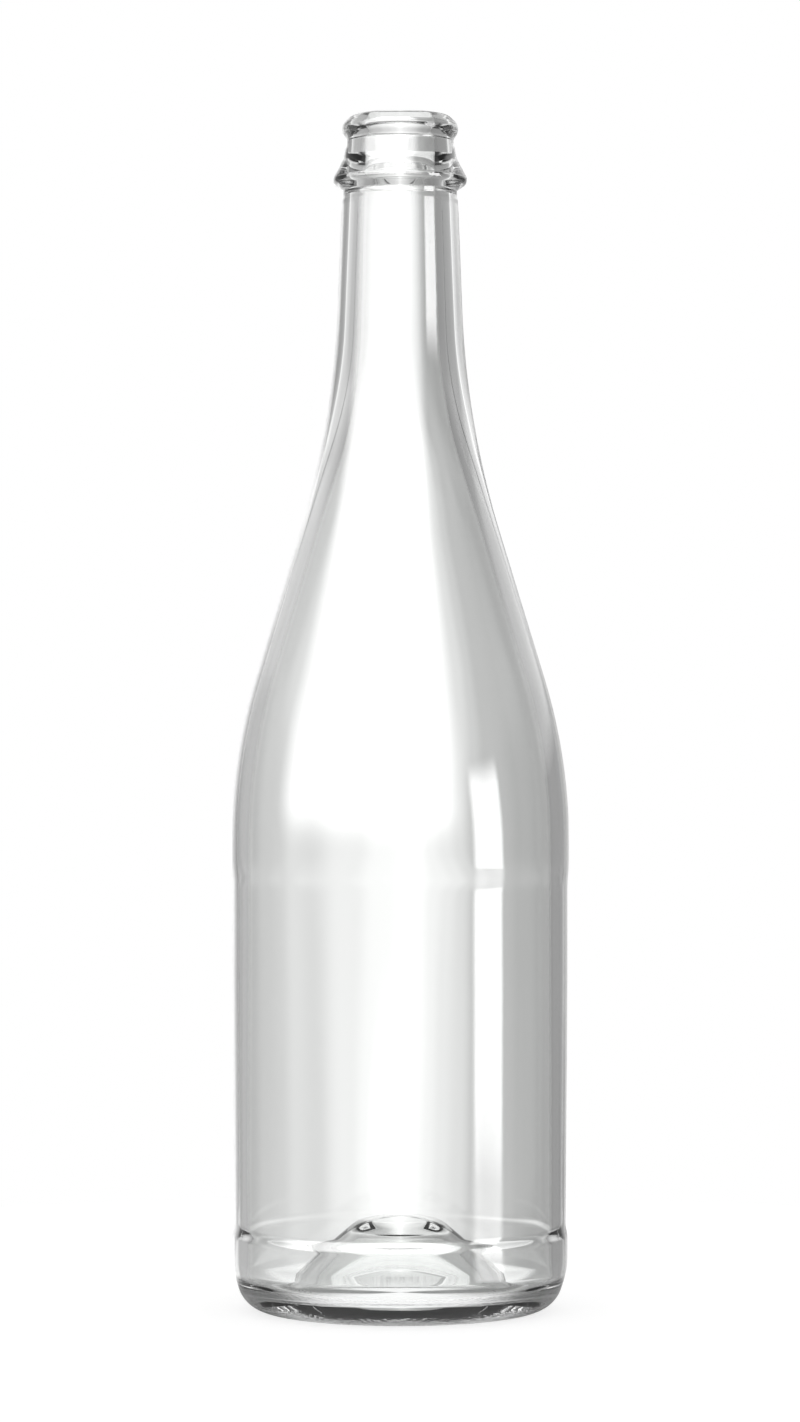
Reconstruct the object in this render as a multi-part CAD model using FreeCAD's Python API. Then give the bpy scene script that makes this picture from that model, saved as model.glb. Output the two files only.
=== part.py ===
import FreeCAD, Part
import math
import os

# Sparkling wine bottle, one piece of clear glass. Millimetres, +Z up.
# The origin is the centre of the base ring, on the plane the bottle stands on.
# The whole shape is turned about Z from one closed outline of straight sides and
# tangent arcs. A height is measured up from the standing plane and a drop is
# measured down from the top of the lip.

# ---- overall sizes ----
HEIGHT = 300.0                  # standing plane to the top of the lip
BODY_DIA = 84.8                 # shoulder contact band, the widest place
WALL = 3.8                      # glass in the body and the shoulder

# ---- mouth: lip and locking bead for a 29 mm cap ----
BEAD_DIA = 29.2
BORE_DIA = 17.5
BORE_EDGE_RADIUS = 1.3          # lip top into the bore
LIP_TOP_RADIUS = 2.6            # flat lip top into the slanted facet
LIP_FACET_WIDTH = 2.35
LIP_FACET_DROP = 2.4
BEAD_TOP_RADIUS = 2.4           # facet into the bead
BEAD_UNDER_RADIUS = 2.5
BEAD_DROP = 4.35                # corner under the bead
WAIST_DEPTH = 1.25              # undercut that the cap is crimped into
WAIST_DROP = 6.1
WAIST_RADIUS = 1.7
LIP_FLAT = 0.1                  # least share of the lip's width that stays flat

# ---- collar that holds the wire cage down ----
SKIRT_INSET = 0.35              # change of slope between the collar's two flanks
SKIRT_DROP = 10.9
SKIRT_RADIUS = 5.0
COLLAR_OVERHANG = 2.2           # past the bead
COLLAR_TOP_DROP = 15.7
COLLAR_UNDER_DROP = 17.2
COLLAR_RADIUS = 1.5
TUCK_DROP = 18.9                # where the underside meets the neck
TUCK_RADIUS = 0.45

# ---- neck ----
NECK_RING_INSET = 0.28          # plain ring under the collar, made by the mouth mould
NECK_INSET = 0.09               # neck below that ring, made by the body mould
NECK_STEP_DROP = 20.5
NECK_STEP = 0.8                 # height of the soft step between the two
NECK_DRAFT = 2.2                # degrees each side
NECK_CORNER_DROP = 77.3         # neck line and shoulder cone would meet here
NECK_SWEEP = 28.6               # from that corner to each end of its arc

# ---- shoulder ----
SHOULDER_CORNER = 138.3         # shoulder cone and body line would meet here
SHOULDER_SWEEP = 21.1           # from that corner to each end of its arc
SWEEP_LIMIT = 0.45              # most of the cone's side that either arc may take

# ---- two contact bands and the label panel set in between them ----
SHOULDER_BAND_END = 111.3
SHOULDER_STEP = 3.6             # height of the soft step below the band
PANEL_TOP_INSET = 0.42
PANEL_TAPER_START = 83.0        # straight above this, tapered below it
PANEL_FOOT_INSET = 0.88
LOWER_STEP = 1.8                # height of the soft step above the lower band
LOWER_BAND_TOP = 19.0
LOWER_BAND_INSET = 0.41
STEP_ROUNDING = 0.48            # share of a step's height that each arc takes up

# ---- heel and base ring ----
HEEL_HEIGHT = 9.6               # the heel is one slanted facet between two arcs
HEEL_INSET = 3.4
HEEL_UPPER_RADIUS = 19.0
HEEL_LOWER_RADIUS = 8.0
RING_WIDTH = 2.1                # flat ring that the bottle stands on

# ---- punt, the dome pushed up into the base ----
PUNT_HEIGHT = 24.2              # on the wine side
PUNT_GLASS = 5.0                # glass at the top of the dome
PUNT_FLANK = 41.0               # degrees below level, wine side
PUNT_UNDER_FLANK = 44.0         # degrees below level, underside
PUNT_CAP_FALL = 14.0            # degrees below level at the edge of the cap
PUNT_CAP_SHARE = 0.4            # where the cap breaks, as a share of its own reach
PUNT_CAP_ROUNDING = 0.15        # arc at the cap's edge, as a share of the same reach
PUNT_FOOT_RADIUS = 4.5          # wine side
RING_EDGE_RADIUS = 6.0          # underside
FLOOR_GLASS = 5.7               # glass between the ring and the lowest wine
INNER_HEEL_SHARE = 0.78         # share of the floor outside its lowest ring that is curved

# ---- inside of the neck ----
BORE_STRAIGHT = 13.0            # length of the straight bore
BORE_DRAFT = 1.7                # degrees each side, below the straight bore
BORE_BLEND = 3.0
NECK_INSIDE_SWEEP = 16.0        # from the inner neck corner to each end of its arc


class Corner:
    """A corner of the outline.

    The corner is rounded by an arc of the given radius, or by the arc whose
    ends lie the given setback away from it. With neither it stays sharp.
    """

    def __init__(self, out, height, radius=0.0, setback=0.0):
        self.point = FreeCAD.Vector(out, 0, height)
        self.radius = radius
        self.setback = setback


def tan_deg(angle):
    """Tangent of an angle in degrees."""
    return math.tan(math.radians(angle))


def arc_at(before, corner, after):
    """Start, middle and end of the tangent arc at a corner, or None if it is sharp."""
    back = (before.point - corner.point).normalize()
    ahead = (after.point - corner.point).normalize()
    half = back.getAngle(ahead) / 2.0
    setback = corner.setback
    if corner.radius:
        setback = corner.radius / math.tan(half)
    if not setback:
        return None
    start = corner.point + back * setback
    end = corner.point + ahead * setback
    gap = setback / math.cos(half) - setback * math.tan(half)
    middle = corner.point + (back + ahead).normalize() * gap
    return start, middle, end


def outline_edges(corners):
    """Straight sides and tangent arcs through a run of corners, first to last."""
    edges = []
    here = corners[0].point
    for before, corner, after in zip(corners, corners[1:], corners[2:]):
        arc = arc_at(before, corner, after)
        start = arc[0] if arc else corner.point
        if here.distanceToPoint(start) > 1e-4:
            edges.append(Part.makeLine(here, start))
        here = start
        if arc:
            edges.append(Part.Arc(*arc).toShape())
            here = arc[2]
    last = corners[-1].point
    if here.distanceToPoint(last) > 1e-4:
        edges.append(Part.makeLine(here, last))
    return edges


def band_radius():
    """Radius of the lower contact band."""
    return BODY_DIA / 2.0 - LOWER_BAND_INSET


def inside_radius():
    """Radius of the space inside the body."""
    return BODY_DIA / 2.0 - PANEL_TOP_INSET - WALL


def ring_outer_radius():
    """Radius at which the heel's lower arc runs out into the flat base ring."""
    facet = math.degrees(math.atan2(HEEL_HEIGHT, HEEL_INSET))
    return band_radius() - HEEL_INSET - HEEL_LOWER_RADIUS * tan_deg(facet / 2.0)


def dome(apex, floor, flank, foot_end, foot_radius):
    """Corners of one face of the punt, from the axis out to the floor beside it.

    A shallow cap, tangent to level at the axis, falls to a conical flank, and
    the foot of the flank is rounded so that it reaches level at foot_end.
    """
    foot = foot_end - foot_radius * tan_deg(flank / 2.0)
    steep = tan_deg(flank)
    fall = tan_deg(PUNT_CAP_FALL)
    sloped = 1.0 - PUNT_CAP_SHARE
    reach = (foot * steep - (apex - floor)) / (steep - sloped * fall)
    cap = PUNT_CAP_SHARE * reach
    return [
        Corner(0, apex),
        Corner(cap, apex, setback=cap),
        Corner(reach, apex - (reach - cap) * fall, setback=PUNT_CAP_ROUNDING * reach),
        Corner(foot, floor, radius=foot_radius),
    ]


def punt_underside():
    """Hollow under the base, from the axis out to the ring it stands on."""
    ring_inner = ring_outer_radius() - RING_WIDTH
    apex = PUNT_HEIGHT - PUNT_GLASS
    return dome(apex, 0.0, PUNT_UNDER_FLANK, ring_inner, RING_EDGE_RADIUS)


def heel():
    """Base ring out to the body: an arc, a short facet and a wider arc."""
    band = band_radius()
    return [
        Corner(band - HEEL_INSET, 0, radius=HEEL_LOWER_RADIUS),
        Corner(band, HEEL_HEIGHT, radius=HEEL_UPPER_RADIUS),
    ]


def label_panel():
    """Lower contact band, label panel and shoulder contact band, with their soft steps."""
    body = BODY_DIA / 2.0
    top = body - PANEL_TOP_INSET
    foot = body - PANEL_FOOT_INSET
    panel_foot = LOWER_BAND_TOP + LOWER_STEP
    panel_top = SHOULDER_BAND_END - SHOULDER_STEP
    return [
        Corner(band_radius(), LOWER_BAND_TOP, setback=STEP_ROUNDING * LOWER_STEP),
        Corner(foot, panel_foot, setback=STEP_ROUNDING * LOWER_STEP),
        Corner(top, PANEL_TAPER_START),
        Corner(top, panel_top, setback=STEP_ROUNDING * SHOULDER_STEP),
        Corner(body, SHOULDER_BAND_END, setback=STEP_ROUNDING * SHOULDER_STEP),
    ]


def shoulder(low, high, low_sweep, high_sweep):
    """The cone between two points, with a sweep at each end kept within its side."""
    side = math.hypot(high[0] - low[0], high[1] - low[1])
    most = SWEEP_LIMIT * side
    return [
        Corner(low[0], low[1], setback=min(low_sweep, most)),
        Corner(high[0], high[1], setback=min(high_sweep, most)),
    ]


def cone_ends():
    """Where the shoulder cone would meet the body line and the neck line."""
    neck_top = BEAD_DIA / 2.0 - NECK_INSET
    run = NECK_CORNER_DROP - NECK_STEP_DROP - NECK_STEP
    neck = (neck_top + run * tan_deg(NECK_DRAFT), HEIGHT - NECK_CORNER_DROP)
    return (BODY_DIA / 2.0, SHOULDER_CORNER), neck


def outer_shoulder():
    """Outside of the shoulder."""
    low, high = cone_ends()
    return shoulder(low, high, SHOULDER_SWEEP, NECK_SWEEP)


def neck_and_collar():
    """Step at the top of the neck, then the collar's tucked underside and two flanks."""
    bead = BEAD_DIA / 2.0
    collar = bead + COLLAR_OVERHANG
    ring = bead - NECK_RING_INSET
    step = HEIGHT - NECK_STEP_DROP
    return [
        Corner(bead - NECK_INSET, step - NECK_STEP, setback=STEP_ROUNDING * NECK_STEP),
        Corner(ring, step, setback=STEP_ROUNDING * NECK_STEP),
        Corner(ring, HEIGHT - TUCK_DROP, radius=TUCK_RADIUS),
        Corner(collar, HEIGHT - COLLAR_UNDER_DROP, radius=COLLAR_RADIUS),
        Corner(collar, HEIGHT - COLLAR_TOP_DROP, radius=COLLAR_RADIUS),
        Corner(bead - SKIRT_INSET, HEIGHT - SKIRT_DROP, radius=SKIRT_RADIUS),
    ]


def lip():
    """Undercut waist, locking bead and rounded lip, ending inside the bore."""
    bead = BEAD_DIA / 2.0
    bore = BORE_DIA / 2.0
    curved = LIP_FACET_WIDTH + LIP_TOP_RADIUS / 2.0 + BORE_EDGE_RADIUS
    fit = min(1.0, (bead - bore) * (1.0 - LIP_FLAT) / curved)
    return [
        Corner(bead - WAIST_DEPTH, HEIGHT - WAIST_DROP, radius=WAIST_RADIUS),
        Corner(bead, HEIGHT - BEAD_DROP, radius=BEAD_UNDER_RADIUS),
        Corner(bead, HEIGHT - LIP_FACET_DROP * fit, radius=BEAD_TOP_RADIUS * fit),
        Corner(bead - LIP_FACET_WIDTH * fit, HEIGHT, radius=LIP_TOP_RADIUS * fit),
        Corner(bore, HEIGHT, radius=BORE_EDGE_RADIUS * fit),
    ]


def inside_of_neck_and_shoulder():
    """Straight bore, its taper, and a shoulder cone one wall in from the outside."""
    low, high = cone_ends()
    slope = (low[0] - high[0]) / (high[1] - low[1])
    bore = BORE_DIA / 2.0
    bore_end = HEIGHT - BORE_STRAIGHT
    taper = tan_deg(BORE_DRAFT)
    across = low[0] - WALL * math.hypot(1.0, slope)
    neck_z = (across + slope * low[1] - bore - taper * bore_end) / (slope - taper)
    neck = (bore + taper * (bore_end - neck_z), neck_z)
    inside = inside_radius()
    body = (inside, low[1] + (across - inside) / slope)
    cone = shoulder(body, neck, SHOULDER_SWEEP, NECK_INSIDE_SWEEP)
    return [Corner(bore, bore_end, setback=BORE_BLEND)] + cone[::-1]


def floor_of_cavity():
    """Inner heel, lowest ring and the wine side of the punt, ending on the axis."""
    lowest = ring_outer_radius() - RING_WIDTH / 2.0
    inside = inside_radius()
    heel_arc = INNER_HEEL_SHARE * (inside - lowest)
    punt = dome(PUNT_HEIGHT, FLOOR_GLASS, PUNT_FLANK, lowest, PUNT_FOOT_RADIUS)
    return [Corner(inside, FLOOR_GLASS, radius=heel_arc)] + punt[::-1]


def bottle():
    """The bottle: up the outside, over the lip, down the inside, turned about Z."""
    corners = punt_underside() + heel() + label_panel() + outer_shoulder()
    corners += neck_and_collar() + lip()
    corners += inside_of_neck_and_shoulder() + floor_of_cavity()
    edges = outline_edges(corners)
    edges.append(Part.makeLine(corners[-1].point, corners[0].point))
    section = Part.Face(Part.Wire(edges))
    return section.revolve(FreeCAD.Vector(0, 0, 0), FreeCAD.Vector(0, 0, 1), 360)


os.makedirs("parts", exist_ok=True)
bottle().exportStep("parts/glass_bottle.step")
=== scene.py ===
import logging
import math
from dataclasses import dataclass, field
from enum import Enum

import bpy
import numpy as np
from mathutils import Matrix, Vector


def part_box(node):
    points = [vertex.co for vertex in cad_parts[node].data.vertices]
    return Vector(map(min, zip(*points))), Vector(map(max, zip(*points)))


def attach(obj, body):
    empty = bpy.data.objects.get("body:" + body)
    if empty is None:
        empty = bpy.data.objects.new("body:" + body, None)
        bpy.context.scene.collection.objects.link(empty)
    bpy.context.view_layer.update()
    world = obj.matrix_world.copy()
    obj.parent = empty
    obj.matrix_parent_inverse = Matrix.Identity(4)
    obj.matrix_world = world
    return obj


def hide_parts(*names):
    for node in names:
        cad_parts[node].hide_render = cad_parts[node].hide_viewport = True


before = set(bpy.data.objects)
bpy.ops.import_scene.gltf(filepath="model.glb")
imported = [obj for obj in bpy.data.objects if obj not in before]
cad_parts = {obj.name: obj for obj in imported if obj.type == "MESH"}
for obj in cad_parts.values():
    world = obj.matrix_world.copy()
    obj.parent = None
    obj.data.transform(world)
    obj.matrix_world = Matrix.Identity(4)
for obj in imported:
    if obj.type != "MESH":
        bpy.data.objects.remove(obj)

MM = 0.001
NODE = "glass_bottle"
WHITE = (1.0, 1.0, 1.0, 1.0)
LOG = logging.getLogger("bottle")

Pair = tuple[float, float]
Steps = tuple[Pair, ...]


# ---------------------------------------------------------------------------
# Shader nodes written as expressions
# ---------------------------------------------------------------------------

class Value:
    """A number in a shader: an output socket that Python's operators work on."""

    def __init__(self, sheet: "NodeSheet", socket: bpy.types.NodeSocket) -> None:
        """Wrap an output socket of a node on the given sheet."""
        self.sheet = sheet
        self.socket = socket

    def __add__(self, other: "Value | float") -> "Value":
        """Sum of the two numbers."""
        return self.sheet.maths("ADD", self, other)

    def __radd__(self, other: float) -> "Value":
        """Sum, with a plain number on the left."""
        return self.sheet.maths("ADD", other, self)

    def __sub__(self, other: "Value | float") -> "Value":
        """Difference of the two numbers."""
        return self.sheet.maths("SUBTRACT", self, other)

    def __rsub__(self, other: float) -> "Value":
        """Difference, with a plain number on the left."""
        return self.sheet.maths("SUBTRACT", other, self)

    def __mul__(self, other: "Value | float") -> "Value":
        """Product of the two numbers."""
        return self.sheet.maths("MULTIPLY", self, other)

    def __rmul__(self, other: float) -> "Value":
        """Product, with a plain number on the left."""
        return self.sheet.maths("MULTIPLY", other, self)

    def __neg__(self) -> "Value":
        """The number with its sign changed."""
        return self.sheet.maths("MULTIPLY", self, -1.0)


class NodeSheet:
    """A node tree that is filled by short expressions."""

    def __init__(self, tree: bpy.types.NodeTree) -> None:
        """Start on an empty tree."""
        self.tree = tree
        tree.nodes.clear()

    def node(
        self, kind: str, settings: dict | None = None, inputs: dict | None = None
    ) -> bpy.types.Node:
        """Add one node.

        Args:
            kind: the node's type name.
            settings: properties of the node, set before its sockets are filled.
            inputs: socket name or number to a constant, a socket or a Value.

        Returns:
            The new node.
        """
        made = self.tree.nodes.new(kind)
        for name, value in (settings or {}).items():
            setattr(made, name, value)
        for name, value in (inputs or {}).items():
            socket = made.inputs[name]
            if isinstance(value, Value):
                self.tree.links.new(value.socket, socket)
            elif isinstance(value, bpy.types.NodeSocket):
                self.tree.links.new(value, socket)
            else:
                socket.default_value = value
        return made

    def maths(self, operation: str, *values: "Value | float") -> Value:
        """One Math node, given its operation and its inputs in order."""
        made = self.node("ShaderNodeMath", {"operation": operation}, dict(enumerate(values)))
        return Value(self, made.outputs[0])

    def smooth(self, value: "Value | float", low: float, high: float) -> Value:
        """Smooth step of a number: 0 at low, 1 at high, level at both ends."""
        made = self.node(
            "ShaderNodeMapRange",
            {"interpolation_type": "SMOOTHSTEP"},
            {"Value": value, "From Min": low, "From Max": high, "To Min": 0.0, "To Max": 1.0},
        )
        return Value(self, made.outputs["Result"])

    def ladder(self, value: "Value | float", steps: Steps) -> Value:
        """A curve through steps of (place, level), each eased into the next.

        Args:
            value: where on the curve to read.
            steps: the places in rising order, with the level held at each.

        Returns:
            The first level, plus a smooth step to each later one.
        """
        level: Value | float = steps[0][1]
        for (start, old), (end, new) in zip(steps, steps[1:]):
            level = level + (new - old) * self.smooth(value, start, end)
        return level

    def colour(self, share: "Value | float", first: tuple, second: tuple) -> bpy.types.NodeSocket:
        """Blend of two colours, the share being how much of the second one there is."""
        made = self.node(
            "ShaderNodeMix",
            {"data_type": "RGBA"},
            {0: share, 6: (*first, 1.0), 7: (*second, 1.0)},
        )
        return made.outputs[2]

    def window(
        self, value: "Value | float", limits: Pair, edges: Pair
    ) -> Value:
        """1 between the two limits and 0 outside, over a soft edge centred on each limit.

        Args:
            value: the number that is tested.
            limits: the lower and the upper limit.
            edges: the width of the soft edge at each.

        Returns:
            The share, from 0 to 1.
        """
        rise = self.smooth(value, limits[0] - edges[0] / 2.0, limits[0] + edges[0] / 2.0)
        fall = self.smooth(value, limits[1] - edges[1] / 2.0, limits[1] + edges[1] / 2.0)
        return rise * (1.0 - fall)


# ---------------------------------------------------------------------------
# Outlines and turned surfaces
# ---------------------------------------------------------------------------

@dataclass(frozen=True)
class Corner:
    """A corner of an outline, in millimetres: distance from the axis, height and rounding.

    The rounding is an arc of the given radius, or the arc whose ends lie the
    given setback away from the corner. With neither the corner stays sharp.
    """

    out: float
    height: float
    radius: float = 0.0
    setback: float = 0.0


@dataclass(frozen=True)
class Outline:
    """Straight sides joined by tangent arcs, sampled finely enough to look smooth.

    Attributes:
        corners: the corners in order along the outline.
        turn: largest turn between neighbouring points of an arc, in degrees.
        stride: largest distance between neighbouring points, in millimetres.
        nearest: points no further apart than this, in millimetres, count as one.
    """

    corners: tuple[Corner, ...]
    turn: float = 5.0
    stride: float = 3.0
    nearest: float = 1e-4

    @staticmethod
    def lengths(line: np.ndarray) -> np.ndarray:
        """Distance from each point of a line to the next."""
        return np.linalg.norm(np.diff(line, axis=0), axis=1)

    def arc(self, before: np.ndarray, corner: Corner, after: np.ndarray) -> np.ndarray:
        """Points of the arc at a corner.

        The centre lies on the bisector of the two sides, and the points turn
        about it in equal steps from the side behind to the side ahead.

        Args:
            before: the corner before it.
            corner: the corner that is rounded.
            after: the corner after it.

        Returns:
            The points as rows of distance from the axis and height.
        """
        here = np.array([corner.out, corner.height])
        back = (before - here) / np.linalg.norm(before - here)
        ahead = (after - here) / np.linalg.norm(after - here)
        half = np.arccos(np.clip(back @ ahead, -1.0, 1.0)) / 2.0
        setback = corner.radius / math.tan(half) if corner.radius else corner.setback
        if setback == 0.0:
            return here[None, :]
        middle = (back + ahead) / np.linalg.norm(back + ahead)
        centre = here + middle * setback / math.cos(half)
        start = here + back * setback - centre
        end = here + ahead * setback - centre
        sweep = math.atan2(start[0] * end[1] - start[1] * end[0], start @ end)
        by_turn = math.ceil(abs(math.degrees(sweep)) / self.turn)
        by_length = math.ceil(abs(sweep) * np.linalg.norm(start) / self.stride)
        steps = max(2, by_turn, by_length)
        angle = np.linspace(0.0, sweep, steps + 1)[:, None]
        side = np.array([-start[1], start[0]])
        return centre + np.cos(angle) * start + np.sin(angle) * side

    def points(self) -> np.ndarray:
        """The whole outline as rows of distance from the axis and height, in metres.

        Long straight sides get points in between, no further apart than the stride.
        """
        places = [np.array([c.out, c.height]) for c in self.corners]
        runs = [places[0][None, :]]
        for before, corner, after in zip(places, self.corners[1:-1], places[2:]):
            runs.append(self.arc(before, corner, after))
        runs.append(places[-1][None, :])
        line = np.concatenate(runs)
        line = line[np.concatenate([[True], self.lengths(line) > self.nearest])]
        pieces = np.maximum(1, np.ceil(self.lengths(line) / self.stride)).astype(int)
        start = np.repeat(np.arange(len(pieces)), pieces)
        count = np.arange(len(start)) - np.repeat(np.cumsum(pieces) - pieces, pieces)
        share = (count / np.repeat(pieces, pieces))[:, None]
        filled = line[start] * (1.0 - share) + line[start + 1] * share
        return np.concatenate([filled, line[-1:]]) * MM


def turned_mesh(
    name: str, radius: np.ndarray, height: np.ndarray, angle: np.ndarray
) -> bpy.types.Mesh:
    """A closed surface turned about Z.

    Point (i, j) lies at height[i, j], at distance radius[i, j] from the axis and
    at angle[j] round it from +X. The first and last rows lie on the axis and become
    one point each, closed by a fan of triangles. Each point's normal is the cross
    product of the surface's two tangents there, so reflections run smoothly.

    Args:
        name: the mesh's name.
        radius: distance from the axis for each row and column, in metres.
        height: height for each row and column, in metres.
        angle: each column's angle in radians, rising through one turn.

    Returns:
        The mesh, with its faces pointing away from the glass.
    """
    rows, columns = radius.shape
    grid = np.stack([radius * np.cos(angle), radius * np.sin(angle), height], axis=-1)
    along = np.gradient(grid, axis=0)
    around = np.roll(grid, -1, axis=1) - np.roll(grid, 1, axis=1)
    normal = np.cross(around, along)
    normal /= np.maximum(np.linalg.norm(normal, axis=-1, keepdims=True), 1e-12)

    inner = grid[1:-1].reshape(-1, 3)
    points = np.concatenate([grid[0, :1], inner, grid[-1, :1]])
    poles = np.array([[0.0, 0.0, -1.0], [0.0, 0.0, 1.0]])
    normals = np.concatenate([poles[:1], normal[1:-1].reshape(-1, 3), poles[1:]])

    column = np.arange(columns)
    onward = (column + 1) % columns
    low = (1 + np.arange(rows - 3) * columns)[:, None]
    quads = np.stack(
        [low + column, low + onward, low + columns + onward, low + columns + column], axis=-1
    ).reshape(-1, 4)
    last = len(points) - 1
    first_row = 1 + column
    last_row = 1 + (rows - 3) * columns + column
    foot = np.stack([np.zeros(columns, int), 1 + onward, first_row], axis=-1)
    top = np.stack([np.full(columns, last), last_row, last_row - column + onward], axis=-1)
    fans = np.concatenate([foot, top])

    corners = np.concatenate([quads.ravel(), fans.ravel()])
    sizes = np.concatenate([np.full(len(quads), 4), np.full(len(fans), 3)])
    mesh = bpy.data.meshes.new(name)
    mesh.vertices.add(len(points))
    mesh.vertices.foreach_set("co", points.ravel())
    mesh.loops.add(len(corners))
    mesh.loops.foreach_set("vertex_index", corners)
    mesh.polygons.add(len(sizes))
    mesh.polygons.foreach_set("loop_start", np.cumsum(sizes) - sizes)
    mesh.polygons.foreach_set("use_smooth", np.ones(len(sizes), bool))
    mesh.update(calc_edges=True)
    mesh.validate()
    mesh.normals_split_custom_set_from_vertices(normals)
    return mesh


# ---------------------------------------------------------------------------
# Finishes, and the floor's painted pool of light towards the glass
# ---------------------------------------------------------------------------

@dataclass(frozen=True)
class ClearGlass:
    """Polished flint glass, as it leaves the mould.

    The faces are fire-polished, with a very shallow ripple. The bearing ring is
    knurled, and the glass is a shade greener where it is thick, low down.

    Attributes:
        thin: colour that one face of the wall leaves in white light.
        thick: the same for the base.
        thick_below: height below which the base's colour takes over, in metres.
        thick_full: share of that height below which there is only the base's colour.
        index: index of refraction of soda-lime glass.
        ripple: depth of the ripple, in metres.
        ripple_scale: ripples to the metre.
        ripple_stretch: share of that scale up the bottle, so the ripples run tall.
        knurl: depth of the knurling, in metres.
        knurl_scale: grains of knurling to the metre.
        knurl_top: height at which the knurling has died away, in metres.
        knurl_full: share of that height below which the knurling is at its deepest.
        knurl_roughness: roughness of the knurled glass.
    """

    thin: tuple[float, float, float] = (0.985, 0.99, 0.985)
    thick: tuple[float, float, float] = (0.978, 0.985, 0.98)
    thick_below: float = 0.024
    thick_full: float = 0.4
    index: float = 1.52
    ripple: float = 0.00006
    ripple_scale: float = 55.0
    ripple_stretch: float = 0.25
    knurl: float = 0.0002
    knurl_scale: float = 900.0
    knurl_top: float = 0.0035
    knurl_full: float = 0.3
    knurl_roughness: float = 0.35

    def material(self) -> bpy.types.Material:
        """The material for the glass."""
        made = bpy.data.materials.new("clear_glass")
        made.use_nodes = True
        sheet = NodeSheet(made.node_tree)
        place = sheet.node("ShaderNodeTexCoord").outputs["Object"]
        parts = sheet.node("ShaderNodeSeparateXYZ", None, {0: place})
        height = Value(sheet, parts.outputs[2])

        stretched = sheet.node(
            "ShaderNodeVectorMath",
            {"operation": "MULTIPLY"},
            {0: place, 1: (1.0, 1.0, self.ripple_stretch)},
        ).outputs[0]
        ripple = sheet.node("ShaderNodeTexNoise", None, {
            "Vector": stretched, "Scale": self.ripple_scale, "Detail": 1.0, "Roughness": 0.4,
        })
        knurl = sheet.node("ShaderNodeTexVoronoi", None, {
            "Vector": place, "Scale": self.knurl_scale,
        })
        gritty = 1.0 - sheet.smooth(height, self.knurl_full * self.knurl_top, self.knurl_top)
        relief = (Value(sheet, ripple.outputs[0]) * self.ripple
                  + Value(sheet, knurl.outputs["Distance"]) * gritty * self.knurl)
        bump = sheet.node("ShaderNodeBump", None, {
            "Strength": 1.0, "Distance": 1.0, "Height": relief,
        })

        low = 1.0 - sheet.smooth(height, self.thick_full * self.thick_below, self.thick_below)
        shader = sheet.node("ShaderNodeBsdfPrincipled", None, {
            "Base Color": sheet.colour(low, self.thin, self.thick),
            "Roughness": gritty * self.knurl_roughness,
            "IOR": self.index,
            "Transmission Weight": 1.0,
            "Normal": bump.outputs[0],
        })
        sheet.node("ShaderNodeOutputMaterial", None, {"Surface": shader.outputs["BSDF"]})
        return made


@dataclass(frozen=True)
class FloorPaint:
    """Matt white floor that glows enough to look as white as the backdrop.

    Glass sees only a painted pool of light round the bottle's foot: the floor gives off
    more towards the glass in front of and behind the bottle than at its sides, and the
    pool fades out, so no edge of the floor shows through the bottle.

    Attributes:
        glow: light that it gives off.
        albedo: share of the light falling on it that it scatters.
        painted_pool: painted light that the floor gives off towards the glass, as a pool round
            the bottle.
        painted_pool_side: share of that to the left and right of the bottle.
        painted_pool_turn: how far round to the front or back, as a share, the painted light is
            dimmest and brightest.
        painted_pool_edge: distances over which the painted light fades out, in metres.
        guard: added under the root, so that nothing is divided by zero on the axis.
    """

    glow: float = 0.74
    albedo: float = 0.36
    painted_pool: float = 0.95
    painted_pool_side: float = 0.12
    painted_pool_turn: Pair = (0.45, 0.95)
    painted_pool_edge: Pair = (0.05, 0.075)
    guard: float = 1e-8

    def material(self) -> bpy.types.Material:
        """The material for the floor."""
        made = bpy.data.materials.new("white_floor")
        made.use_nodes = True
        sheet = NodeSheet(made.node_tree)
        path = sheet.node("ShaderNodeLightPath")
        glossy = Value(sheet, path.outputs["Is Glossy Ray"])
        through = Value(sheet, path.outputs["Is Transmission Ray"])
        by_glass = sheet.maths("MINIMUM", glossy + through, 1.0)
        place = sheet.node("ShaderNodeTexCoord").outputs["Object"]
        parts = sheet.node("ShaderNodeSeparateXYZ", None, {0: place})
        x, y = Value(sheet, parts.outputs[0]), Value(sheet, parts.outputs[1])
        out = sheet.maths("SQRT", x * x + y * y + self.guard)
        turned = sheet.maths("ABSOLUTE", sheet.maths("DIVIDE", y, out))
        # Painted pool of light: towards the glass the floor glows brighter in front of and behind
        # the bottle than at its sides.
        before = sheet.smooth(turned, *self.painted_pool_turn)
        painted_pool = self.painted_pool * (self.painted_pool_side + (1.0 - self.painted_pool_side) * before)
        glow = self.glow + (painted_pool - self.glow) * by_glass
        lamp = sheet.node("ShaderNodeEmission", None, {"Color": WHITE, "Strength": glow})
        paint = sheet.node("ShaderNodeBsdfDiffuse", None, {"Color": (self.albedo,) * 3 + (1.0,)})
        both = sheet.node("ShaderNodeAddShader", None, {0: lamp.outputs[0], 1: paint.outputs[0]})
        clear = sheet.node("ShaderNodeBsdfTransparent")
        # Beyond the painted pool of light the floor is clear to the glass.
        gone = by_glass * sheet.smooth(out, *self.painted_pool_edge)
        chosen = sheet.node("ShaderNodeMixShader", None, {
            0: gone, 1: both.outputs[0], 2: clear.outputs[0],
        })
        sheet.node("ShaderNodeOutputMaterial", None, {"Surface": chosen.outputs[0]})
        return made


# ---------------------------------------------------------------------------
# The bottle
# ---------------------------------------------------------------------------

class Face(Enum):
    """Which face of the glass a point of the outline is on."""

    OUTSIDE = "outside"
    INSIDE = "inside"


def slope(degrees: float) -> float:
    """Rise over run of a line at the given angle."""
    return math.tan(math.radians(degrees))


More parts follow.
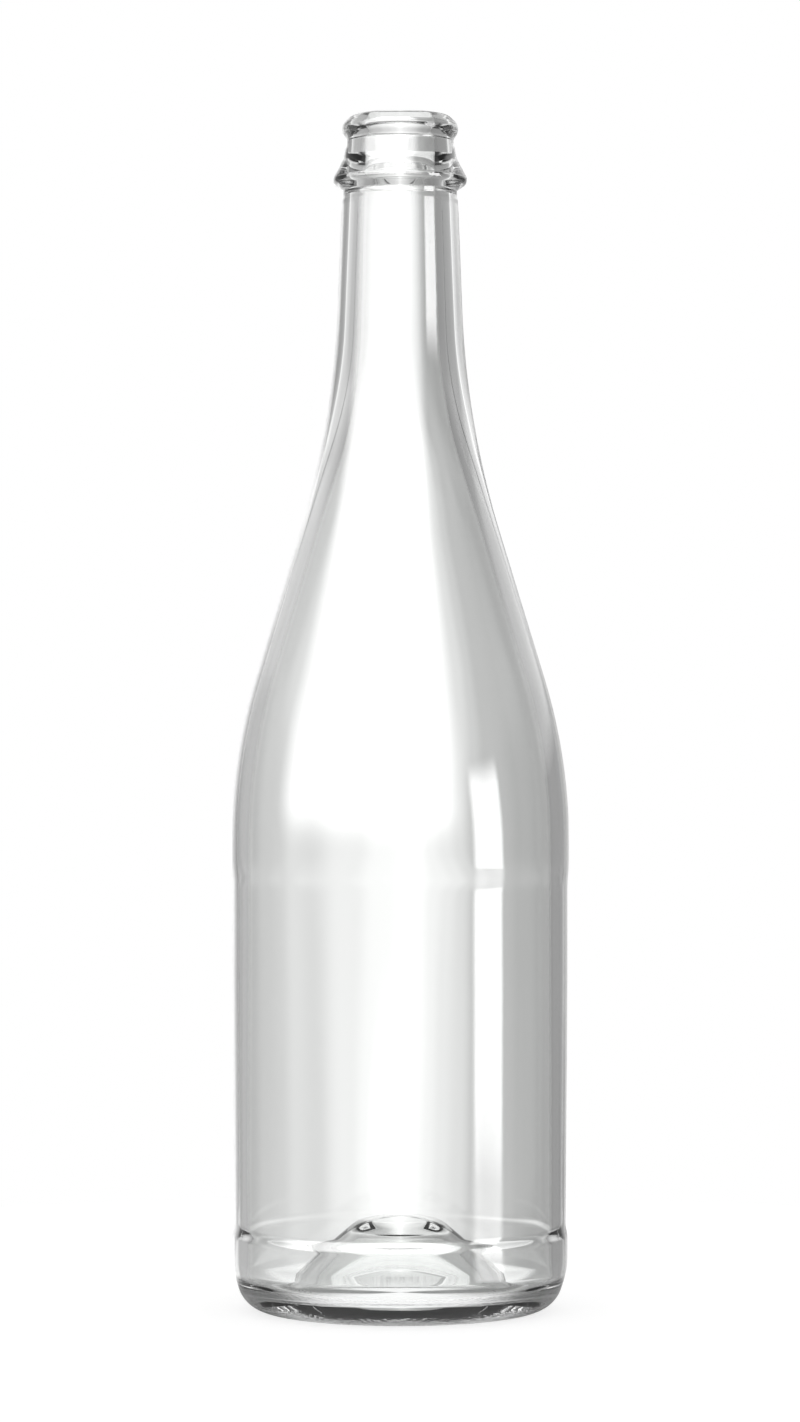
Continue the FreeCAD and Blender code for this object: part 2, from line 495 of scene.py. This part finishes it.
@dataclass
class GlassBottle:
    """The bottle: one closed outline turned about Z, in millimetres.

    The height and the body's width come from the frame. Heights are measured
    up from the standing plane and drops down from the top of the lip.

    Attributes:
        segments: even columns round the mesh.
        seam_span: half-width of the close columns at a seam, in seam widths.
        seam_columns: number of close columns at a seam.
        seam_fade: height below the neck's step over which a seam fades out.
        seam_room: least distance that a seam keeps inside the body's full width.
        waves: lobes round the bottle, depth, starting angle and twist for each
            millimetre up, for each cosine of the inside's wander.
        wander_clear: height left true at the floor and at the bore.
        wander_rise: height over which the wander grows from the floor.
        wander_fall: height over which it dies away towards the bore.
    """

    height: float
    body_dia: float
    wall: float = 3.8
    segments: int = 200

    seam_height: float = 0.08
    seam_width: float = 0.5
    seam_span: float = 1.5
    seam_columns: int = 13
    seam_fade: float = 4.0
    seam_room: float = 0.01
    waves: tuple[tuple[int, float, float, float], ...] = (
        (3, 0.10, 0.4, 0.010),
        (5, 0.07, 2.1, -0.014),
        (8, 0.035, 4.0, 0.009),
        (13, 0.016, 1.2, -0.006),
        (21, 0.007, 5.1, 0.004),
    )
    wander_clear: float = 8.0
    wander_rise: float = 20.0
    wander_fall: float = 40.0

    bead_dia: float = 29.2
    bore_dia: float = 17.5
    bore_edge_radius: float = 1.3
    lip_top_radius: float = 2.6
    lip_facet_width: float = 2.35
    lip_facet_drop: float = 2.4
    bead_top_radius: float = 2.4
    bead_under_radius: float = 2.5
    bead_drop: float = 4.35
    waist_depth: float = 1.25
    waist_drop: float = 6.1
    waist_radius: float = 1.7

    skirt_inset: float = 0.35
    skirt_drop: float = 10.9
    skirt_radius: float = 5.0
    collar_overhang: float = 2.2
    collar_top_drop: float = 15.7
    collar_under_drop: float = 17.2
    collar_radius: float = 1.5
    tuck_drop: float = 18.9
    tuck_radius: float = 0.45

    neck_ring_inset: float = 0.28
    neck_inset: float = 0.09
    neck_step_drop: float = 20.5
    neck_step: float = 0.8
    neck_draft: float = 2.2
    neck_corner_drop: float = 77.3
    neck_sweep: float = 28.6

    shoulder_corner: float = 138.3
    shoulder_sweep: float = 21.1

    shoulder_band_end: float = 111.3
    shoulder_step: float = 3.6
    panel_top_inset: float = 0.42
    panel_taper_start: float = 83.0
    panel_foot_inset: float = 0.88
    lower_step: float = 1.8
    lower_band_top: float = 19.0
    lower_band_inset: float = 0.41
    step_rounding: float = 0.48

    heel_height: float = 9.6
    heel_inset: float = 3.4
    heel_upper_radius: float = 19.0
    heel_lower_radius: float = 8.0
    ring_width: float = 2.1

    punt_height: float = 24.2
    punt_glass: float = 5.0
    punt_flank: float = 41.0
    punt_under_flank: float = 44.0
    punt_cap_fall: float = 14.0
    punt_cap_share: float = 0.4
    punt_cap_rounding: float = 0.15
    punt_foot_radius: float = 4.5
    ring_edge_radius: float = 6.0
    floor_glass: float = 5.7
    inner_heel_share: float = 0.78

    bore_straight: float = 13.0
    bore_draft: float = 1.7
    bore_blend: float = 3.0
    neck_inside_sweep: float = 16.0

    finish: ClearGlass = field(default_factory=ClearGlass)

    def band_radius(self) -> float:
        """Radius of the lower contact band."""
        return self.body_dia / 2.0 - self.lower_band_inset

    def inside_radius(self) -> float:
        """Radius of the space inside the body."""
        return self.body_dia / 2.0 - self.panel_top_inset - self.wall

    def ring_outer_radius(self) -> float:
        """Radius at which the heel's lower arc runs out into the flat base ring."""
        facet = math.degrees(math.atan2(self.heel_height, self.heel_inset))
        return self.band_radius() - self.heel_inset - self.heel_lower_radius * slope(facet / 2.0)

    def dome(
        self, apex: float, floor: float, flank: float, foot_end: float, foot_radius: float
    ) -> list[Corner]:
        """Corners of one face of the punt, from the axis out to the floor beside it.

        A shallow cap, level at the axis, falls to a conical flank, and the foot
        of the flank is rounded so that it is level at foot_end.
        """
        foot = foot_end - foot_radius * slope(flank / 2.0)
        steep = slope(flank)
        fall = slope(self.punt_cap_fall)
        sloped = 1.0 - self.punt_cap_share
        reach = (foot * steep - (apex - floor)) / (steep - sloped * fall)
        cap = self.punt_cap_share * reach
        return [
            Corner(0.0, apex),
            Corner(cap, apex, setback=cap),
            Corner(reach, apex - (reach - cap) * fall, setback=self.punt_cap_rounding * reach),
            Corner(foot, floor, radius=foot_radius),
        ]

    def base(self) -> list[Corner]:
        """Underside of the punt, then the heel's two arcs and the facet between them."""
        ring_inner = self.ring_outer_radius() - self.ring_width
        apex = self.punt_height - self.punt_glass
        band = self.band_radius()
        return self.dome(apex, 0.0, self.punt_under_flank, ring_inner, self.ring_edge_radius) + [
            Corner(band - self.heel_inset, 0.0, radius=self.heel_lower_radius),
            Corner(band, self.heel_height, radius=self.heel_upper_radius),
        ]

    def label_panel(self) -> list[Corner]:
        """Both contact bands, the soft steps beside them and the panel between."""
        body = self.body_dia / 2.0
        top = body - self.panel_top_inset
        foot = body - self.panel_foot_inset
        low = self.step_rounding * self.lower_step
        high = self.step_rounding * self.shoulder_step
        return [
            Corner(self.band_radius(), self.lower_band_top, setback=low),
            Corner(foot, self.lower_band_top + self.lower_step, setback=low),
            Corner(top, self.panel_taper_start),
            Corner(top, self.shoulder_band_end - self.shoulder_step, setback=high),
            Corner(body, self.shoulder_band_end, setback=high),
        ]

    def cone_ends(self) -> tuple[tuple[float, float], tuple[float, float]]:
        """Where the shoulder cone would meet the body line and the neck line."""
        neck_top = self.bead_dia / 2.0 - self.neck_inset
        run = self.neck_corner_drop - self.neck_step_drop - self.neck_step
        neck = neck_top + run * slope(self.neck_draft)
        neck_foot = self.height - self.neck_corner_drop
        return (self.body_dia / 2.0, self.shoulder_corner), (neck, neck_foot)

    def shoulder(self) -> list[Corner]:
        """Outside of the shoulder: a long cone with a sweep at each end."""
        low, high = self.cone_ends()
        return [Corner(*low, setback=self.shoulder_sweep), Corner(*high, setback=self.neck_sweep)]

    def neck_and_collar(self) -> list[Corner]:
        """Step at the top of the neck, then the collar's tucked underside and two flanks."""
        bead = self.bead_dia / 2.0
        collar = bead + self.collar_overhang
        ring = bead - self.neck_ring_inset
        step = self.height - self.neck_step_drop
        soft = self.step_rounding * self.neck_step
        return [
            Corner(bead - self.neck_inset, step - self.neck_step, setback=soft),
            Corner(ring, step, setback=soft),
            Corner(ring, self.height - self.tuck_drop, radius=self.tuck_radius),
            Corner(collar, self.height - self.collar_under_drop, radius=self.collar_radius),
            Corner(collar, self.height - self.collar_top_drop, radius=self.collar_radius),
            Corner(
                bead - self.skirt_inset, self.height - self.skirt_drop, radius=self.skirt_radius
            ),
        ]

    def lip(self) -> list[Corner]:
        """Undercut waist, locking bead and rounded lip, ending inside the bore."""
        bead = self.bead_dia / 2.0
        top = self.height
        return [
            Corner(bead - self.waist_depth, top - self.waist_drop, radius=self.waist_radius),
            Corner(bead, top - self.bead_drop, radius=self.bead_under_radius),
            Corner(bead, top - self.lip_facet_drop, radius=self.bead_top_radius),
            Corner(bead - self.lip_facet_width, top, radius=self.lip_top_radius),
            Corner(self.bore_dia / 2.0, top, radius=self.bore_edge_radius),
        ]

    def inside(self) -> list[Corner]:
        """Bore, neck, shoulder and floor of the space inside, one wall in from the outside."""
        low, high = self.cone_ends()
        cone = (low[0] - high[0]) / (high[1] - low[1])
        bore = self.bore_dia / 2.0
        bore_end = self.height - self.bore_straight
        taper = slope(self.bore_draft)
        across = low[0] - self.wall * math.hypot(1.0, cone)
        neck = (across + cone * low[1] - bore - taper * bore_end) / (cone - taper)
        inside = self.inside_radius()
        lowest = self.ring_outer_radius() - self.ring_width / 2.0
        punt = self.dome(
            self.punt_height, self.floor_glass, self.punt_flank, lowest, self.punt_foot_radius
        )
        return [
            Corner(bore, bore_end, setback=self.bore_blend),
            Corner(bore + taper * (bore_end - neck), neck, setback=self.neck_inside_sweep),
            Corner(inside, low[1] + (across - inside) / cone, setback=self.shoulder_sweep),
            Corner(inside, self.floor_glass, radius=self.inner_heel_share * (inside - lowest)),
            *punt[::-1],
        ]

    def columns(self) -> np.ndarray:
        """Angles of the mesh's columns: even ones, and a close set across each mould seam."""
        even = np.linspace(0.0, 2.0 * np.pi, self.segments, endpoint=False)
        close = np.linspace(-self.seam_span, self.seam_span, self.seam_columns)
        close = close * self.seam_width / (self.body_dia / 2.0)
        angles = np.concatenate([even, close % (2.0 * np.pi), np.pi + close])
        return np.unique(np.round(angles, 7))

    def relief(
        self, face: Face, radius: np.ndarray, height: np.ndarray, angle: np.ndarray
    ) -> np.ndarray:
        """How far the glass stands out from the true turned form, in metres.

        Outside, a bell-shaped ridge runs up both mould seams, at 0 and 180 degrees,
        and is held back where it would pass the body's full width. Inside, the blown
        face wanders: a sum of cosines round the bottle, each turning slowly with
        height, which fades out at the bore and at the floor.

        Args:
            face: which face the rows are on.
            radius: distance from the axis for each row, as a column, in metres.
            height: height for each row, as a column, in metres.
            angle: the columns' angles.

        Returns:
            The distance outwards for each row and column.
        """
        tall = height / MM
        if face is Face.OUTSIDE:
            across = radius / MM * np.sin(angle)
            ridge = self.seam_height * np.exp(-((across / (0.5 * self.seam_width)) ** 2))
            on_side = np.clip(tall / self.heel_height, 0.0, 1.0) * np.clip(
                (self.height - self.neck_step_drop - tall) / self.seam_fade, 0.0, 1.0)
            room = np.maximum(self.body_dia / 2.0 - radius / MM - self.seam_room, 0.0)
            return np.minimum(ridge * on_side, room) * MM
        wander = sum(
            deep * np.cos(lobes * angle + start + twist * tall)
            for lobes, deep, start, twist in self.waves
        )
        bore_foot = self.height - self.bore_straight
        rise = np.clip((tall - self.floor_glass - self.wander_clear) / self.wander_rise, 0.0, 1.0)
        fall = np.clip((bore_foot - self.wander_clear - tall) / self.wander_fall, 0.0, 1.0)
        size = radius / MM / self.inside_radius()
        return wander * rise * fall * size * MM

    def build(self) -> bpy.types.Object:
        """Build the bottle's piece.

        The outline's points up to the highest are the outside, and those after it
        the inside. Each becomes a row, repeated round the columns with its relief.

        Returns:
            The object, at the origin, with its place in its mesh.
        """
        corners = self.base() + self.label_panel() + self.shoulder() + self.neck_and_collar()
        corners += self.lip() + self.inside()
        line = Outline(tuple(corners)).points()
        angle = self.columns()
        mouth = int(np.argmax(line[:, 1]))
        out, tall = line[:, :1], line[:, 1:]
        relief = np.concatenate([
            self.relief(Face.OUTSIDE, out[:mouth], tall[:mouth], angle),
            self.relief(Face.INSIDE, out[mouth:], tall[mouth:], angle),
        ])
        heights = np.repeat(tall, len(angle), axis=1)
        mesh = turned_mesh("clear_bottle", out + relief, heights, angle)
        piece = bpy.data.objects.new("clear_bottle", mesh)
        bpy.context.scene.collection.objects.link(piece)
        return piece

    def dress(self, piece: bpy.types.Object) -> None:
        """Give the piece its glass and tie it to the frame."""
        piece.data.materials.append(self.finish.material())
        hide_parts(NODE)
        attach(piece, "root")


# ---------------------------------------------------------------------------
# The studio
# ---------------------------------------------------------------------------

@dataclass(frozen=True)
class LightPanel:
    """A soft light far from the bottle, as the part of the sky that it fills.

    Angles are in degrees. An azimuth is measured from the front of the bottle
    towards the right as seen from there, and an elevation from the level up.

    Attributes:
        azimuth: where the panel begins and ends round the bottle.
        elevation: its lower and upper ends.
        azimuth_edges: how softly it begins and ends.
        elevation_edges: how soft its lower and upper ends are.
        strength: its brightness.
        lean: degrees that it leans to the left for each degree up.
    """

    azimuth: Pair
    elevation: Pair
    azimuth_edges: Pair
    elevation_edges: Pair
    strength: float
    lean: float = 0.0

    def light(self, sheet: NodeSheet, azimuth: Value, elevation: Value) -> Value:
        """The panel's brightness in a direction: its strength times two soft windows."""
        across = sheet.window(azimuth + elevation * self.lean, self.azimuth, self.azimuth_edges)
        up = sheet.window(elevation, self.elevation, self.elevation_edges)
        return across * up * self.strength


@dataclass(frozen=True)
class Backdrop:
    """Lit paper behind the bottle, brightest straight behind it.

    Attributes:
        left: (degrees from straight behind, brightness) on the left-hand side.
        right: the same on the right-hand side.
        spread: share by which the bright patch widens for each degree up.
        narrowest: least share that the angles from straight behind are scaled to.
        overhead: share of the brightness at each elevation, in degrees.
    """

    left: Steps = (
        (0.0, 1.30), (1.0, 1.10), (2.0, 0.98), (4.5, 0.82),
        (12.0, 0.70), (26.0, 0.52), (60.0, 0.48), (90.0, 0.42),
    )
    right: Steps = (
        (0.0, 1.30), (0.8, 1.14), (1.5, 1.04), (2.1, 0.93), (2.8, 0.80), (3.6, 0.66),
        (5.0, 0.54), (12.0, 0.42), (28.0, 0.35), (60.0, 0.32), (90.0, 0.30),
    )
    spread: float = 0.045
    narrowest: float = 0.4
    overhead: Steps = ((11.0, 1.0), (30.0, 0.75), (90.0, 0.6))

    def light(self, sheet: NodeSheet, azimuth: Value, elevation: Value) -> Value:
        """The backdrop's brightness in a direction."""
        away = 180.0 - sheet.maths("ABSOLUTE", azimuth)
        narrow = sheet.maths("MAXIMUM", 1.0 - elevation * self.spread, self.narrowest)
        away = away * narrow
        on_right = sheet.maths("GREATER_THAN", azimuth, 0.0)
        left = sheet.ladder(away, self.left)
        right = sheet.ladder(away, self.right)
        return (left + (right - left) * on_right) * sheet.ladder(elevation, self.overhead)


@dataclass(frozen=True)
class Studio:
    """White backdrop, panels of light round the bottle and a pale floor.

    Attributes:
        panels: the soft lights, which show only as reflections on the outside of the glass.
        backdrop: what stands behind the bottle.
        front: brightness in front where no light stands.
        front_edge: azimuths over which the front gives way to the backdrop.
        front_through_glass: (degrees from straight ahead, brightness) in front, for light
            that has been through the wall.
        side_paper: azimuths of the white paper on either side, for light that has
            crossed the inside of the bottle.
        side_edge: how softly that paper begins and ends.
        side_level: its brightness.
        ground: brightness of the white floor beyond the painted pool of light under the bottle.
        ground_for_thick_glass: (elevation, brightness) of the same, for light that has not
            crossed the inside of the bottle.
        ground_edge: elevations over which the ground gives way to the backdrop.
        flags: azimuths of the black flags on either side, below eye level.
        flag_edge: how softly a flag begins and ends.
        flag_top: elevations over which a flag ends at its top.
        flag_level: what light the flags give back.
        plain: brightness of the room as it lights matt things.
        entered: transmission depth beyond which light has been through a face of the glass.
        crossed: the same for light that has crossed the inside of the bottle.
        floor_radius: radius of the floor, in metres.
        floor_sides: number of sides of the floor.
        paint: finish of the floor, with its painted pool of light towards the glass.
    """

    panels: tuple[LightPanel, ...] = (
        LightPanel((-84.0, 37.0), (2.5, 75.0), (26.0, 24.0), (9.0, 10.0), 9.0),
        LightPanel((51.5, 73.5), (-6.6, 12.0), (5.0, 4.0), (2.5, 6.0), 12.0, 0.2),
        LightPanel((51.5, 73.5), (-16.0, -5.0), (8.0, 6.0), (6.0, 3.0), 7.0, 0.2),
        LightPanel((120.0, 168.0), (6.0, 60.0), (16.0, 10.0), (6.0, 10.0), 1.5),
        LightPanel((150.0, 176.0), (-20.0, 12.0), (10.0, 6.0), (6.0, 6.0), 0.8),
        LightPanel((-177.0, -148.0), (-20.0, 60.0), (6.0, 10.0), (6.0, 6.0), 1.5),
    )
    backdrop: Backdrop = field(default_factory=Backdrop)
    front: float = 0.04
    front_edge: Pair = (88.0, 92.0)
    front_through_glass: Steps = (
        (0.0, 1.15), (3.0, 1.00), (12.0, 0.74), (28.0, 0.62),
        (45.0, 0.75), (62.0, 0.30), (90.0, 0.30),
    )
    side_paper: Pair = (80.0, 100.0)
    side_edge: float = 16.0
    side_level: float = 1.05
    ground: float = 0.95
    ground_for_thick_glass: Steps = ((-50.0, 0.08), (-22.0, 0.65), (-13.0, 0.95))
    ground_edge: Pair = (-17.0, -11.0)
    flags: Pair = (62.0, 138.0)
    flag_edge: float = 20.0
    flag_top: Pair = (-13.0, -8.0)
    flag_level: float = 0.05
    plain: float = 0.9
    entered: float = 0.5
    crossed: float = 2.5
    floor_radius: float = 0.27
    floor_sides: int = 96
    paint: FloorPaint = field(default_factory=FloorPaint)

    def world(self) -> None:
        """Light the scene from its surroundings.

        The camera sees plain white. Rays reflected off the outside of the glass see
        the backdrop and the panels. Rays that have been through a face of the glass
        see paper in front instead of the panels, dark ground and black flags. Once
        they have crossed the inside of the bottle, the ground and the paper on either
        side are white. Matt things are lit by a level white.
        """
        world = bpy.data.worlds.new("studio")
        bpy.context.scene.world = world
        world.use_nodes = True
        sheet = NodeSheet(world.node_tree)
        place = sheet.node("ShaderNodeTexCoord")
        parts = sheet.node("ShaderNodeSeparateXYZ", None, {0: place.outputs["Generated"]})
        x, y, z = (Value(sheet, parts.outputs[i]) for i in range(3))
        azimuth = sheet.maths("ARCTAN2", x, -y) * math.degrees(1.0)
        elevation = sheet.maths("ARCSINE", z) * math.degrees(1.0)

        path = sheet.node("ShaderNodeLightPath")
        camera = Value(sheet, path.outputs["Is Camera Ray"])
        glossy = Value(sheet, path.outputs["Is Glossy Ray"])
        through = Value(sheet, path.outputs["Is Transmission Ray"])
        depth = Value(sheet, path.outputs["Transmission Depth"])
        deep = sheet.maths("GREATER_THAN", depth, self.entered)
        crossed = sheet.maths("GREATER_THAN", depth, self.crossed)

        panels: Value | float = 0.0
        for panel in self.panels:
            panels = sheet.maths("MAXIMUM", panels, panel.light(sheet, azimuth, elevation))
        away = sheet.maths("ABSOLUTE", azimuth)
        front = self.front + (sheet.ladder(away, self.front_through_glass) - self.front) * deep
        ahead = 1.0 - sheet.smooth(away, *self.front_edge)
        behind = self.backdrop.light(sheet, azimuth, elevation)
        studio = behind + (front - behind) * ahead
        beside = sheet.window(away, self.side_paper, (self.side_edge,) * 2) * crossed
        studio = studio + (self.side_level - studio) * beside
        dark_ground = sheet.ladder(elevation, self.ground_for_thick_glass)
        ground = dark_ground + (self.ground - dark_ground) * crossed
        studio = ground + (studio - ground) * sheet.smooth(elevation, *self.ground_edge)
        flag = sheet.window(away, self.flags, (self.flag_edge,) * 2)
        flag = flag * (1.0 - sheet.smooth(elevation, *self.flag_top))
        studio = studio + (self.flag_level - studio) * flag * deep * (1.0 - crossed)
        studio = sheet.maths("MAXIMUM", studio, panels * (1.0 - deep))
        by_glass = sheet.maths("MINIMUM", glossy + through, 1.0)
        seen = self.plain + (studio - self.plain) * by_glass
        strength = seen + (1.0 - seen) * camera
        sky = sheet.node("ShaderNodeBackground", None, {"Color": WHITE, "Strength": strength})
        sheet.node("ShaderNodeOutputWorld", None, {"Surface": sky.outputs[0]})

    def floor(self) -> bpy.types.Object:
        """A flat round floor at height 0, as a fan of triangles about its middle."""
        angle = np.linspace(0.0, 2.0 * np.pi, self.floor_sides, endpoint=False)
        rim = self.floor_radius * np.stack([np.cos(angle), np.sin(angle), 0.0 * angle], axis=-1)
        step = np.arange(self.floor_sides)
        faces = np.stack([0 * step, 1 + step, 1 + (step + 1) % self.floor_sides], axis=-1)
        mesh = bpy.data.meshes.new("floor")
        mesh.from_pydata(np.concatenate([np.zeros((1, 3)), rim]).tolist(), [], faces.tolist())
        mesh.materials.append(self.paint.material())
        made = bpy.data.objects.new("floor", mesh)
        bpy.context.scene.collection.objects.link(made)
        return made


@dataclass(frozen=True)
class Viewpoint:
    """Where the camera stands: level, in front of the bottle, at half its height.

    Attributes:
        distance: from the bottle's axis, in metres.
        height: above the floor, in metres.
        reach: the lens's focal length over the long side of the frame.
        film: that side's length, in millimetres.
    """

    distance: float = 1.1817
    height: float = 0.1503
    reach: float = 3.3052
    film: float = 36.0

    def place(self) -> bpy.types.Object:
        """Make the camera and look through it."""
        lens = bpy.data.cameras.new("camera")
        lens.sensor_width = self.film
        lens.lens = self.film * self.reach
        camera = bpy.data.objects.new("camera", lens)
        camera.location = (0.0, -self.distance, self.height)
        camera.rotation_euler = (math.radians(90.0), 0.0, 0.0)
        bpy.context.scene.collection.objects.link(camera)
        bpy.context.scene.camera = camera
        return camera


def main() -> None:
    """Build the bottle and the studio, and report each piece."""
    bpy.context.scene.view_settings.view_transform = "Standard"
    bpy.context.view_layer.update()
    low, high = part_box(NODE)
    bottle = GlassBottle(height=(high[2] - low[2]) / MM, body_dia=2.0 * high[0] / MM)
    piece = bottle.build()
    bottle.dress(piece)
    LOG.info("%s: %d faces", piece.name, len(piece.data.polygons))

    studio = Studio()
    studio.world()
    floor = studio.floor()
    LOG.info("%s: %d faces", floor.name, len(floor.data.polygons))
    camera = Viewpoint().place()
    LOG.info("%s: %.0f mm lens", camera.name, camera.data.lens)


if __name__ == "__main__":
    logging.basicConfig(level=logging.INFO)
    main()
